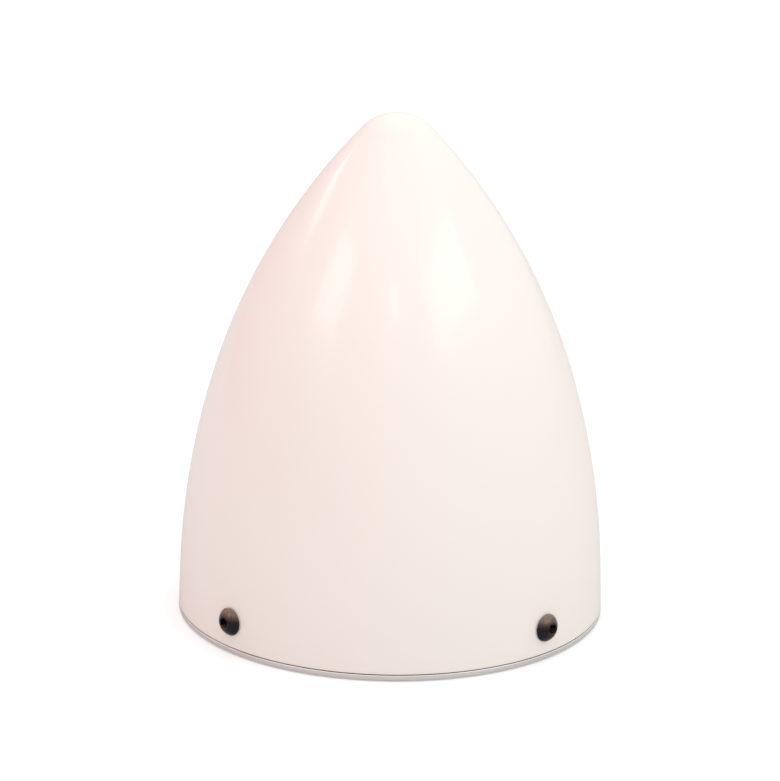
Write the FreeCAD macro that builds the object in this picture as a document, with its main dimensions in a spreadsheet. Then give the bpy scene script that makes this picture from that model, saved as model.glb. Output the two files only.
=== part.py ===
import FreeCAD, Part
import math
import os

import Sketcher

# Propeller spinner for a large model aircraft, in millimetres.
#
# A thin-walled ogive cone, laid up in glass fibre with a gelcoat skin, drops over the turned register ring
# of an aluminium backplate and lands on the plate's flange. Button-head screws run radially through holes
# near the cone's base into tapped lugs inside the ring. The crankshaft passes through the bore of the
# plate's hub.
#
# Frame: +Z along the spin axis towards the nose, origin at the centre of the backplate's rear face.
# Every piece is drawn with its first screw on +X and then turned about the spin axis by its Placement.

SIZES = [
    # alias, value, meaning
    ("outer_diameter", 90.0, "diameter of the cone's base and of the backplate's flange"),
    ("cone_length", 104.0, "parting line to tip"),
    ("nose_radius", 10.0, "ball end of the cone"),
    ("band_above_screws", 2.2, "screw axis to the top of the straight, tapered band round the cone's base"),
    ("flank_ratio", 1.05, "radius of the flank's lower arc over that of a single-arc ogive"),
    ("flank_centre_height", 1.6, "parting line to the centre of the lower arc"),
    ("shoulder_height", 49.0, "parting line to where the flank's lower arc hands over to the upper one"),
    ("flank_face_count", 3, "faces that the lower arc is drawn as"),
    ("upper_face_count", 5, "faces that the upper arc is drawn as"),
    ("skin_thickness", 1.5, "laminate wall"),
    ("land_buildup", 0.5, "extra laminate at the base, bored true to fit the register ring"),
    ("land_overrun", 1.5, "how far the bored land runs past the top of the register ring"),
    ("land_runout", 2.0, "height over which the land blends into the skin"),
    ("lip_break", 0.15, "edge break on the cone's lower outer edge"),
    ("flange_thickness", 1.0, "the backplate's edge below the cone"),
    ("flange_break", 0.1, "edge breaks on the flange"),
    ("register_clearance", 0.05, "radial gap between the ring and the cone's land"),
    ("ring_wall", 2.4, "radial wall of the register ring"),
    ("ring_above_screws", 4.9, "screw axis to the top of the register ring"),
    ("ring_lead_in", 0.5, "lead-in chamfer at the top of the ring"),
    ("web_thickness", 3.0, "rear face to the front of the web"),
    ("relief_depth", 0.6, "turned relief in the rear face, between hub and rim"),
    ("relief_inner_diameter", 34.0, "inner edge of the rear relief"),
    ("relief_outer_diameter", 78.0, "outer edge of the rear relief"),
    ("hub_diameter", 30.0, "propeller seat"),
    ("hub_height", 12.0, "rear face to propeller seat"),
    ("hub_break", 0.4, "edge break round the propeller seat"),
    ("bore_diameter", 10.0, "crankshaft bore"),
    ("bore_chamfer", 0.5, "chamfer at both mouths of the bore"),
    ("lug_depth", 3.0, "how far a lug stands inwards from the ring"),
    ("lug_width", 9.0, "width of a lug across its screw"),
    ("lug_corner", 2.0, "rounded inner corners of a lug"),
    ("lug_fillet", 2.5, "cutter radius where a lug meets the ring"),
    ("web_hole_diameter", 10.0, "lightening holes in the web"),
    ("web_hole_circle", 56.0, "pitch circle of the lightening holes"),
    ("web_hole_count", 8, "lightening holes, spaced evenly"),
    ("screw_count", 4, "screws and lugs, spaced evenly"),
    ("first_screw_angle", 45.0, "degrees from +X to the first screw"),
    ("screw_height", 5.6, "parting line to the screw axis"),
    ("screw_hole_clearance", 0.1, "radial gap round a shank in the cone"),
    ("thread_clearance", 0.05, "radial gap round a shank in its lug"),
    ("shank_diameter", 3.0, "thread's outer diameter"),
    ("shank_length", 8.0, "bearing face to tip"),
    ("tip_chamfer", 0.4, "chamfer at a shank's end"),
    ("head_diameter", 5.7, "button head"),
    ("head_height", 1.65, "bearing face to crown"),
    ("head_rim", 0.25, "straight rim below the dome"),
    ("crown_diameter", 2.6, "flat crown round the socket"),
    ("socket_flats", 2.0, "hexagon socket across flats"),
    ("socket_depth", 1.1, "depth of the hexagon socket"),
]

# Lengths that several pieces share, as expressions over the sheet.
BASE_RADIUS = "sizes.outer_diameter / 2"
LAND_RADIUS = f"{BASE_RADIUS} - sizes.skin_thickness - sizes.land_buildup"
RING_HEIGHT = "sizes.screw_height + sizes.ring_above_screws"
RING_RADIUS = f"{LAND_RADIUS} - sizes.register_clearance"
RING_INNER_RADIUS = f"{RING_RADIUS} - sizes.ring_wall"
LUG_INNER_RADIUS = f"{RING_INNER_RADIUS} - sizes.lug_depth"
LAND_HEIGHT = f"({RING_HEIGHT} + sizes.land_overrun)"
# The flank's lower arc, from the radius of the one arc that would be tangent to the base and the nose.
FLANK_RADIUS = (
    "sizes.flank_ratio * ((sizes.outer_diameter / 2) ^ 2 - sizes.nose_radius ^ 2"
    " + (sizes.cone_length - sizes.nose_radius) ^ 2) / (sizes.outer_diameter - 2 * sizes.nose_radius)"
)
# Round the base the outside is straight, tangent to that arc: inwards over upwards, from the arc's centre.
BAND_HEIGHT = "(sizes.screw_height + sizes.band_above_screws)"
BAND_RISE = f"({BAND_HEIGHT} - sizes.flank_centre_height)"
BAND_TAPER = f"{BAND_RISE} / sqrt(({FLANK_RADIUS}) ^ 2 - {BAND_RISE} ^ 2)"
# A head's flat underside bears on the band where its rim comes nearest to the base.
SEAT_RADIUS = (
    f"{BASE_RADIUS} - {BAND_TAPER} * (sizes.screw_height - sizes.head_diameter / 2 - sizes.lip_break)"
)
SCREW_AXIS_HEIGHT = "sizes.flange_thickness + sizes.screw_height"
SHANK_RADIUS = "sizes.shank_diameter / 2"

START, END, CENTRE = range(1, 4)  # how a sketch numbers the points of a line or an arc
X_AXIS, Y_AXIS = -1, -2  # a sketch's own axes
ORIGIN = (X_AXIS, START)


def make_sheet(doc):
    """Put the driving dimensions into a spreadsheet, one row each."""
    sheet = doc.addObject("Spreadsheet::Sheet", "sizes")
    for row, (alias, value, meaning) in enumerate(SIZES, start=1):
        sheet.set(f"A{row}", alias)
        sheet.set(f"B{row}", str(value))
        sheet.setAlias(f"B{row}", alias)
        sheet.set(f"C{row}", meaning)
    doc.recompute()
    return sheet


def number(expression):
    """The present value of an expression over the sheet, as a plain number."""
    value = sheet.evalExpression(expression)
    return float(getattr(value, "Value", value))


def new_body(name):
    body = doc.addObject("PartDesign::Body", name)
    body.Label = name
    return body


def origin_feature(body, role):
    return next(feature for feature in body.Origin.OriginFeatures if feature.Role == role)


def new_sketch(body, name, plane, offset=None):
    """A sketch on one of its body's origin planes, or at an offset along that plane's normal."""
    sketch = body.newObject("Sketcher::SketchObject", name)
    sketch.AttachmentSupport = (origin_feature(body, plane), [""])
    sketch.MapMode = "FlatFace"
    if offset:
        sketch.setExpression("AttachmentOffset.Base.z", offset)
    return sketch


def constrain(sketch, kind, *where):
    return sketch.addConstraint(Sketcher.Constraint(kind, *where))


def dimension(sketch, name, kind, *where, size):
    """A named dimension whose value follows the expression in size."""
    index = constrain(sketch, kind, *where, number(size))
    sketch.renameConstraint(index, name)
    sketch.setExpression(f"Constraints.{name}", size)


def place(sketch, name, point, x_size, y_size):
    """Dimension a point from the sketch origin, or pin it to an axis where its coordinate is zero."""
    if x_size is None:
        constrain(sketch, "PointOnObject", *point, Y_AXIS)
    else:
        dimension(sketch, f"{name}_x", "DistanceX", *ORIGIN, *point, size=x_size)
    if y_size is None:
        constrain(sketch, "PointOnObject", *point, X_AXIS)
    else:
        dimension(sketch, f"{name}_y", "DistanceY", *ORIGIN, *point, size=y_size)


def add_line(sketch, start, end):
    return sketch.addGeometry(Part.LineSegment(FreeCAD.Vector(*start, 0), FreeCAD.Vector(*end, 0)), False)


def add_arc(sketch, centre, radius, first_angle, last_angle):
    """A counterclockwise arc of a circle; angles in radians from the sketch's x axis."""
    circle = Part.Circle(FreeCAD.Vector(*centre, 0), FreeCAD.Vector(0, 0, 1), radius)
    return sketch.addGeometry(Part.ArcOfCircle(circle, first_angle, last_angle), False)


def add_arc_chain(sketch, name, centre, radius, first_angle, last_angle, joint_sizes):
    """One long arc drawn as several, so that each face stays small; the joints' heights are expressions."""
    turns = [math.asin((number(size) - centre[1]) / radius) for size in joint_sizes]
    stops = [first_angle, *turns, last_angle]
    chain = [add_arc(sketch, centre, radius, start, end) for start, end in zip(stops, stops[1:])]
    for k, (before, after, size) in enumerate(zip(chain, chain[1:], joint_sizes), start=1):
        constrain(sketch, "Coincident", after, CENTRE, before, CENTRE)
        constrain(sketch, "Coincident", before, END, after, START)
        dimension(sketch, f"{name}_joint_{k}", "DistanceY", *ORIGIN, after, START, size=size)
    return chain


def add_circle(sketch, name, x_size, y_size, radius_size):
    """A circle whose centre and radius follow expressions; None puts the centre on an axis."""
    centre = FreeCAD.Vector(number(x_size) if x_size else 0, number(y_size) if y_size else 0, 0)
    circle = sketch.addGeometry(Part.Circle(centre, FreeCAD.Vector(0, 0, 1), number(radius_size)), False)
    place(sketch, name, (circle, CENTRE), x_size, y_size)
    dimension(sketch, f"{name}_radius", "Radius", circle, size=radius_size)


def add_outline(sketch, corners):
    """Straight lines from corner to corner; each corner is (name, x expression, y expression)."""
    spots = [(number(x) if x else 0.0, number(y) if y else 0.0) for _, x, y in corners]
    lines = [add_line(sketch, spots[k], spots[k + 1]) for k in range(len(spots) - 1)]
    for before, after in zip(lines, lines[1:]):
        constrain(sketch, "Coincident", before, END, after, START)
    for line, (name, x_size, y_size) in zip(lines, corners):
        place(sketch, name, (line, START), x_size, y_size)
    place(sketch, corners[-1][0], (lines[-1], END), *corners[-1][1:])
    return lines


def join(sketch, tail, head):
    """A straight line from one point of the outline to another."""
    start, end = sketch.getPoint(*tail), sketch.getPoint(*head)
    line = add_line(sketch, (start.x, start.y), (end.x, end.y))
    constrain(sketch, "Coincident", *tail, line, START)
    constrain(sketch, "Coincident", line, END, *head)


def revolve(body, sketch, axis):
    feature = body.newObject("PartDesign::Revolution", f"{body.Name}_turning")
    feature.Profile = (sketch, [""])
    feature.ReferenceAxis = (sketch, [axis])
    feature.Angle = 360
    doc.recompute()
    return feature


def cut_through(body, sketch, name):
    """Pocket along the sketch's normal, right through what lies that way."""
    feature = body.newObject("PartDesign::Pocket", name)
    feature.Profile = (sketch, [""])
    feature.Type = "ThroughAll"
    feature.Reversed = True
    doc.recompute()
    return feature


def pattern_about_axis(body, name, originals, count):
    """Repeat features evenly about the body's Z axis."""
    feature = body.newObject("PartDesign::PolarPattern", name)
    feature.Originals = originals
    feature.Axis = (origin_feature(body, "Z_Axis"), [""])
    feature.Angle = 360
    feature.setExpression("Occurrences", count)
    body.Tip = feature
    doc.recompute()
    return feature


def turn_to_first_screw(body, height=None, steps="0"):
    """Turn a piece so that its +X lies on a screw, a number of screw steps on from the first."""
    body.Placement = FreeCAD.Placement(FreeCAD.Vector(0, 0, 0), FreeCAD.Rotation(FreeCAD.Vector(0, 0, 1), 1))
    body.setExpression(
        "Placement.Rotation.Angle", f"sizes.first_screw_angle + {steps} * 360 / sizes.screw_count"
    )
    if height:
        body.setExpression("Placement.Base.z", height)


def even_joints(low, high, count_size):
    """Heights that part the rise between two expressions into equal steps."""
    count = int(number(count_size))
    return [f"{low} + ({high} - {low}) * {k} / {count_size}" for k in range(1, count)]


def draw_cone_section(sketch):
    """The cone's half section: a tapered band, two tangent arcs and a ball nose, and the wall inside them.

    Heights are from the parting line. The upper arc's radius is whatever keeps it tangent to the lower arc
    and the nose. The laminate's inner arcs have the same centres, a skin's depth inside.
    """
    base = number(BASE_RADIUS)
    flank = number(FLANK_RADIUS)
    nose = number("sizes.nose_radius")
    skin = number("sizes.skin_thickness")
    nose_height = number("sizes.cone_length") - nose
    nose_foot = "(sizes.cone_length - sizes.nose_radius)"
    shoulder = number("sizes.shoulder_height")
    band, lip = number(BAND_HEIGHT), number("sizes.lip_break")
    centre_height = number("sizes.flank_centre_height")
    band_turn = math.asin((band - centre_height) / flank)
    turn = math.asin((shoulder - centre_height) / flank)
    band_top = (base - (band - lip) * math.tan(band_turn), band)
    flank_centre = (band_top[0] - flank * math.cos(band_turn), centre_height)
    shoulder_radius = flank_centre[0] + flank * math.cos(turn)
    rise = shoulder - nose_height
    upper = (shoulder_radius**2 + rise**2 - nose**2) / (
        2 * (shoulder_radius * math.cos(turn) + rise * math.sin(turn) - nose)
    )
    upper_centre = (shoulder_radius - upper * math.cos(turn), shoulder - upper * math.sin(turn))
    nose_centre = (0, nose_height)
    nose_turn = math.atan2(nose_height - upper_centre[1], -upper_centre[0])
    upper_joints = even_joints("sizes.shoulder_height", nose_foot, "sizes.upper_face_count")

    def draw_skin(side, depth, foot_size):
        """The flank's arcs and the nose's, a depth inside the outer face, from their foot's height up."""
        foot = math.asin((number(foot_size) - centre_height) / (flank - depth))
        lower_joints = even_joints(foot_size, "sizes.shoulder_height", "sizes.flank_face_count")
        lower_arcs = add_arc_chain(
            sketch, f"{side}_flank", flank_centre, flank - depth, foot, turn, lower_joints
        )
        upper_arcs = add_arc_chain(
            sketch, f"{side}_upper", upper_centre, upper - depth, turn, nose_turn, upper_joints
        )
        nose_arc = add_arc(sketch, nose_centre, nose - depth, nose_turn, math.pi / 2)
        dimension(sketch, f"{side}_foot", "DistanceY", *ORIGIN, lower_arcs[0], START, size=foot_size)
        constrain(sketch, "Tangent", lower_arcs[-1], END, upper_arcs[0], START)
        constrain(sketch, "Tangent", upper_arcs[-1], END, nose_arc, START)
        constrain(sketch, "PointOnObject", nose_arc, END, Y_AXIS)
        return lower_arcs[0], upper_arcs[0], nose_arc

    outer = draw_skin("outer", 0, BAND_HEIGHT)
    outer_flank, outer_upper, outer_nose = outer
    constrain(sketch, "PointOnObject", outer_nose, CENTRE, Y_AXIS)
    dimension(sketch, "flank_radius", "Radius", outer_flank, size=FLANK_RADIUS)
    dimension(
        sketch, "flank_centre", "DistanceY", *ORIGIN, outer_flank, CENTRE, size="sizes.flank_centre_height"
    )
    dimension(sketch, "shoulder", "DistanceY", *ORIGIN, outer_upper, START, size="sizes.shoulder_height")
    dimension(sketch, "nose", "Radius", outer_nose, size="sizes.nose_radius")
    dimension(sketch, "tip", "DistanceY", *ORIGIN, outer_nose, END, size="sizes.cone_length")

    inner = draw_skin("inner", skin, f"({LAND_HEIGHT} + sizes.land_runout)")
    inner_flank, _, inner_nose = inner
    for inner_arc, outer_arc in zip(inner, outer):
        constrain(sketch, "Coincident", inner_arc, CENTRE, outer_arc, CENTRE)
    dimension(sketch, "inner_flank", "Radius", inner_flank, size=f"{FLANK_RADIUS} - sizes.skin_thickness")

    # Across the wall at the tip, and round the base: run-out, bored land, seat, edge break and band.
    join(sketch, (outer_nose, END), (inner_nose, END))
    base_lines = add_outline(
        sketch,
        [
            ("land_top", LAND_RADIUS, LAND_HEIGHT),
            ("land_foot", LAND_RADIUS, None),
            ("lip_foot", f"{BASE_RADIUS} - sizes.lip_break", None),
            ("lip_head", BASE_RADIUS, "sizes.lip_break"),
        ],
    )
    join(sketch, (inner_flank, START), (base_lines[0], START))
    band_line = add_line(sketch, (base, lip), band_top)
    constrain(sketch, "Coincident", base_lines[-1], END, band_line, START)
    constrain(sketch, "Tangent", band_line, END, outer_flank, START)


def make_cone():
    """The laminated ogive shell, with a clearance hole for each screw."""
    body = new_body("cone")
    section = new_sketch(body, "cone_section", "XZ_Plane")
    draw_cone_section(section)
    revolve(body, section, "V_Axis")

    drill = new_sketch(body, "screw_hole_outline", "YZ_Plane")
    add_circle(drill, "drill", None, "sizes.screw_height", f"{SHANK_RADIUS} + sizes.screw_hole_clearance")
    screw_hole = cut_through(body, drill, "screw_hole")

    pattern_about_axis(body, "screw_holes", [screw_hole], "sizes.screw_count")
    turn_to_first_screw(body, height="sizes.flange_thickness")
    return body


def draw_backplate_section(sketch):
    """The backplate's half section, counterclockwise from the rear mouth of the bore."""
    bore = "sizes.bore_diameter / 2"
    hub = "sizes.hub_diameter / 2"
    ring_top = f"sizes.flange_thickness + {RING_HEIGHT}"
    lines = add_outline(
        sketch,
        [
            ("rear_mouth", f"{bore} + sizes.bore_chamfer", None),
            ("relief_inner_edge", "sizes.relief_inner_diameter / 2", None),
            ("relief_inner_floor", "sizes.relief_inner_diameter / 2", "sizes.relief_depth"),
            ("relief_outer_floor", "sizes.relief_outer_diameter / 2", "sizes.relief_depth"),
            ("relief_outer_edge", "sizes.relief_outer_diameter / 2", None),
            ("flange_rear", f"{BASE_RADIUS} - sizes.flange_break", None),
            ("flange_rear_edge", BASE_RADIUS, "sizes.flange_break"),
            ("flange_front_edge", BASE_RADIUS, "sizes.flange_thickness - sizes.flange_break"),
            ("flange_front", f"{BASE_RADIUS} - sizes.flange_break", "sizes.flange_thickness"),
            ("ring_foot", RING_RADIUS, "sizes.flange_thickness"),
            ("ring_lead_in_foot", RING_RADIUS, f"{ring_top} - sizes.ring_lead_in"),
            ("ring_lead_in_top", f"{RING_RADIUS} - sizes.ring_lead_in", ring_top),
            ("ring_inner_top", RING_INNER_RADIUS, ring_top),
            ("ring_inner_foot", RING_INNER_RADIUS, "sizes.web_thickness"),
            ("hub_foot", hub, "sizes.web_thickness"),
            ("hub_shoulder", hub, "sizes.hub_height - sizes.hub_break"),
            ("hub_seat", f"{hub} - sizes.hub_break", "sizes.hub_height"),
            ("front_mouth", f"{bore} + sizes.bore_chamfer", "sizes.hub_height"),
            ("bore_front", bore, "sizes.hub_height - sizes.bore_chamfer"),
            ("bore_rear", bore, "sizes.bore_chamfer"),
        ],
    )
    join(sketch, (lines[-1], END), (lines[0], START))


def draw_lug(sketch):
    """A lug seen along the spin axis: rounded inner corners, and its root sunk halfway into the ring."""
    inner = number(LUG_INNER_RADIUS)
    root_size = f"{RING_INNER_RADIUS} + sizes.ring_wall / 2"
    root = number(root_size)
    half = number("sizes.lug_width") / 2
    corner = number("sizes.lug_corner")
    near = add_line(sketch, (root, -half), (inner + corner, -half))
    near_corner = add_arc(sketch, (inner + corner, corner - half), corner, math.pi, 1.5 * math.pi)
    face = add_line(sketch, (inner, corner - half), (inner, half - corner))
    far_corner = add_arc(sketch, (inner + corner, half - corner), corner, math.pi / 2, math.pi)
    far = add_line(sketch, (inner + corner, half), (root, half))
    back = add_line(sketch, (root, half), (root, -half))
    constrain(sketch, "Tangent", near, END, near_corner, END)
    constrain(sketch, "Tangent", near_corner, START, face, START)
    constrain(sketch, "Tangent", face, END, far_corner, END)
    constrain(sketch, "Tangent", far_corner, START, far, START)
    constrain(sketch, "Coincident", far, END, back, START)
    constrain(sketch, "Coincident", back, END, near, START)
    constrain(sketch, "Horizontal", near)
    constrain(sketch, "Horizontal", far)
    constrain(sketch, "Vertical", face)
    constrain(sketch, "Symmetric", back, START, back, END, X_AXIS)
    constrain(sketch, "Equal", near_corner, far_corner)
    dimension(sketch, "corner", "Radius", near_corner, size="sizes.lug_corner")
    dimension(sketch, "width", "DistanceY", back, END, back, START, size="sizes.lug_width")
    dimension(sketch, "face_x", "DistanceX", *ORIGIN, face, START, size=LUG_INNER_RADIUS)
    dimension(sketch, "root_x", "DistanceX", *ORIGIN, back, START, size=root_size)


def lug_root_edges(shape):
    """Names of the upright edges where the lugs' sides meet the ring's inner wall."""
    ring = number(RING_INNER_RADIUS)
    names = []
    for index, edge in enumerate(shape.Edges, start=1):
        upright = math.isclose(edge.BoundBox.ZLength, edge.Length)
        reaches = all(math.isclose(math.hypot(v.X, v.Y), ring) for v in edge.Vertexes)
        if upright and reaches and len(edge.Vertexes) == 2:
            names.append(f"Edge{index}")
    return names


def make_backplate():
    """The turned plate with its register ring, milled lugs, tapped screw holes and lightening holes."""
    body = new_body("backplate")
    section = new_sketch(body, "backplate_section", "XZ_Plane")
    draw_backplate_section(section)
    revolve(body, section, "V_Axis")

    lug_outline = new_sketch(body, "lug_outline", "XY_Plane", offset="sizes.web_thickness")
    draw_lug(lug_outline)
    lug = body.newObject("PartDesign::Pad", "lug")
    lug.Profile = (lug_outline, [""])
    lug.setExpression("Length", f"sizes.flange_thickness + {RING_HEIGHT} - sizes.web_thickness")
    doc.recompute()
    lugs = pattern_about_axis(body, "lugs", [lug], "sizes.screw_count")

    roots = body.newObject("PartDesign::Fillet", "lug_roots")
    roots.Base = (lugs, lug_root_edges(lugs.Shape))
    roots.setExpression("Radius", "sizes.lug_fillet")
    doc.recompute()

    # The tapping drill starts clear of the hub and leaves through the ring's outer wall.
    clear_of_hub = f"({LUG_INNER_RADIUS} + sizes.hub_diameter / 2) / 2"
    tapping = new_sketch(body, "tapped_hole_outline", "YZ_Plane", offset=clear_of_hub)
    add_circle(tapping, "tapping", None, SCREW_AXIS_HEIGHT, f"{SHANK_RADIUS} + sizes.thread_clearance")
    tapped_hole = cut_through(body, tapping, "tapped_hole")
    pattern_about_axis(body, "tapped_holes", [tapped_hole], "sizes.screw_count")

    # The first lightening hole stands half a step from +X, so that a spoke of the web runs out to each lug.
    lightening = new_sketch(body, "web_hole_outline", "XY_Plane")
    add_circle(
        lightening,
        "web_hole",
        "sizes.web_hole_circle / 2 * cos(180 / sizes.web_hole_count)",
        "sizes.web_hole_circle / 2 * sin(180 / sizes.web_hole_count)",
        "sizes.web_hole_diameter / 2",
    )
    web_hole = cut_through(body, lightening, "web_hole")
    pattern_about_axis(body, "web_holes", [web_hole], "sizes.web_hole_count")
    turn_to_first_screw(body)
    return body


def draw_screw_section(sketch):
    """A screw's half section above its axis, from the tip outwards to the crown of the head."""
    seat, shank = SEAT_RADIUS, SHANK_RADIUS
    head = "sizes.head_diameter / 2"
    crown = "sizes.crown_diameter / 2"
    tip = f"{seat} - sizes.shank_length"
    crown_x = f"{seat} + sizes.head_height"
    rim_x = f"{seat} + sizes.head_rim"
    lines = add_outline(
        sketch,
        [
            ("crown_centre", crown_x, None),
            ("tip_centre", tip, None),
            ("tip_edge", tip, f"{shank} - sizes.tip_chamfer"),
            ("shank_end", f"{tip} + sizes.tip_chamfer", shank),
            ("shank_root", seat, shank),
            ("rim_foot", seat, head),
            ("rim_top", rim_x, head),
        ],
    )
    rise = number(crown_x) - number(rim_x)
    rim, flat = number(head), number(crown)
    centre_x = number(crown_x) - (rise**2 + rim**2 - flat**2) / (2 * rise)
    dome_radius = math.hypot(number(crown_x) - centre_x, flat)
    dome = add_arc(
        sketch, (centre_x, 0), dome_radius,
        math.atan2(flat, number(crown_x) - centre_x), math.atan2(rim, number(rim_x) - centre_x),
    )
    face = add_line(sketch, (number(crown_x), flat), (number(crown_x), 0))
    constrain(sketch, "PointOnObject", dome, CENTRE, X_AXIS)
    constrain(sketch, "Coincident", dome, END, lines[-1], END)
    constrain(sketch, "Coincident", dome, START, face, START)
    constrain(sketch, "Coincident", face, END, lines[0], START)
    constrain(sketch, "Vertical", face)
    dimension(sketch, "crown", "DistanceY", *ORIGIN, face, START, size=crown)


def draw_hexagon(sketch, flats_size):
    """A regular hexagon about the sketch origin, two of its corners on the x axis."""
    corner_size = f"{flats_size} / sqrt(3)"
    corner = number(corner_size)
    spots = [(corner * math.cos(k * math.pi / 3), corner * math.sin(k * math.pi / 3)) for k in range(6)]
    sides = [add_line(sketch, spots[k], spots[(k + 1) % 6]) for k in range(6)]
    circle = sketch.addGeometry(Part.Circle(FreeCAD.Vector(), FreeCAD.Vector(0, 0, 1), corner), True)
    constrain(sketch, "Coincident", circle, CENTRE, *ORIGIN)
    dimension(sketch, "corner_radius", "Radius", circle, size=corner_size)
    for k, side in enumerate(sides):
        constrain(sketch, "Coincident", side, END, sides[(k + 1) % 6], START)
        constrain(sketch, "PointOnObject", side, START, circle)
    for side in sides[1:]:
        constrain(sketch, "Equal", sides[0], side)
    constrain(sketch, "PointOnObject", sides[0], START, X_AXIS)


def make_screw(index):
    """One button-head screw, in its seat a number of steps round from the first."""
    body = new_body(f"cone_screw_{index + 1}")
    section = new_sketch(body, f"screw_section_{index + 1}", "XZ_Plane")
    draw_screw_section(section)
    revolve(body, section, "H_Axis")

    outline = new_sketch(
        body, f"socket_outline_{index + 1}", "YZ_Plane", offset=f"{SEAT_RADIUS} + sizes.head_height"
    )
    draw_hexagon(outline, "sizes.socket_flats")
    socket = body.newObject("PartDesign::Pocket", f"socket_{index + 1}")
    socket.Profile = (outline, [""])
    socket.setExpression("Length", "sizes.socket_depth")
    turn_to_first_screw(body, height=SCREW_AXIS_HEIGHT, steps=str(index))
    return body


def check_document(pieces):
    """Stop if any object failed to compute or any piece isn't one sound solid."""
    failed = [item.Name for item in doc.Objects if {"Invalid", "Error"} & set(item.State)]
    if failed:
        raise RuntimeError(f"failed objects: {failed}")
    for piece in pieces:
        shape = piece.Shape
        if shape.isNull() or not shape.isValid() or len(shape.Solids) != 1:
            raise RuntimeError(f"{piece.Label} isn't one valid solid")


doc = FreeCAD.newDocument("spinner")
sheet = make_sheet(doc)
pieces = [make_cone(), make_backplate()]
pieces += [make_screw(index) for index in range(int(number("sizes.screw_count")))]
doc.recompute()
check_document(pieces)

os.makedirs("parts", exist_ok=True)
for piece in pieces:
    piece.Shape.exportStep(f"parts/{piece.Label}.step")
    print(f"{piece.Label}: {piece.Shape.Volume:.1f} mm3")
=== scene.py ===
import logging
import math
from dataclasses import dataclass, field
from enum import Enum

import bpy
import numpy as np
from mathutils import Matrix, Vector


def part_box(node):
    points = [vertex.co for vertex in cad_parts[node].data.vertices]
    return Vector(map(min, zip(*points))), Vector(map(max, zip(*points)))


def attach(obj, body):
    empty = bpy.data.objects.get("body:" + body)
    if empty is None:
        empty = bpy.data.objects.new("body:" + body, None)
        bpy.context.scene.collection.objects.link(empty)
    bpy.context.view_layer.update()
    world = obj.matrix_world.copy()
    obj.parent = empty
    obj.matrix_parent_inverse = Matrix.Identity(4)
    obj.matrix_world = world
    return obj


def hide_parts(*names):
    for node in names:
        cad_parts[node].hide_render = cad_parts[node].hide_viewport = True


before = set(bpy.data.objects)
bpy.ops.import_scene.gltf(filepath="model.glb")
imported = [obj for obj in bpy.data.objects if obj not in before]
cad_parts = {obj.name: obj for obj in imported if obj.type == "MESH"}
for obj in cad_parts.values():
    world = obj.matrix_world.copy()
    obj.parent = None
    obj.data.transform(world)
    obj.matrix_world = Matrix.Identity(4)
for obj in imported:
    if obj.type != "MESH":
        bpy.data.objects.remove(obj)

# Propeller spinner: a glossy glass-fibre ogive cone, four black button-head screws and a turned aluminium
# backplate. The pieces' fields, the widths of a tow and of a tool's pass, and the camera's place and lens
# are millimetres. Meshes, bumps, lights and floor are metres. +Z is the spin axis towards the nose, and
# the origin is the centre of the backplate's rear face.

MM = 0.001
FULL_TURN = 2 * math.pi
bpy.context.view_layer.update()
log = logging.getLogger("spinner")

Colour = tuple[float, float, float]
Place = tuple[float, float, float]
Pair = tuple[float, float]

# Points along a rounded corner.
CORNER_POINTS = 5

# How far the first screw's hexagon is turned, and each next one from the one before it, in radians.
FIRST_CLOCKING = 0.3
CLOCKING_STEP = 0.4


class Slot(Enum):
    """Names of material slots, which the pieces are handed but which nothing reads."""

    GELCOAT = "gelcoat"
    ALUMINIUM = "turned_aluminium"
    BLACK_OXIDE = "black_oxide_steel"


class Wall(Enum):
    """Which finish a face of the cone has: its place in the mesh's list of materials."""

    GELCOAT = 0
    LAMINATE = 1


# ---------------------------------------------------------------------------------------------------------
# Surfaces


def turned_points(profile: np.ndarray, columns: int) -> np.ndarray:
    """Carry a profile of (radius, height) points round the Z axis.

    Formula: point (i, j) is (r_i cos t_j, r_i sin t_j, z_i), with t_j the j-th equal step of a full turn.

    Args:
        profile: radii and heights, one row per point.
        columns: steps in the full turn.

    Returns:
        A grid of points, rows by columns by 3.
    """
    turn = np.arange(columns) * FULL_TURN / columns
    radius = profile[:, :1]
    height = np.broadcast_to(profile[:, 1:], (len(profile), columns))
    return np.stack([radius * np.cos(turn), radius * np.sin(turn), height], axis=-1)


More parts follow.
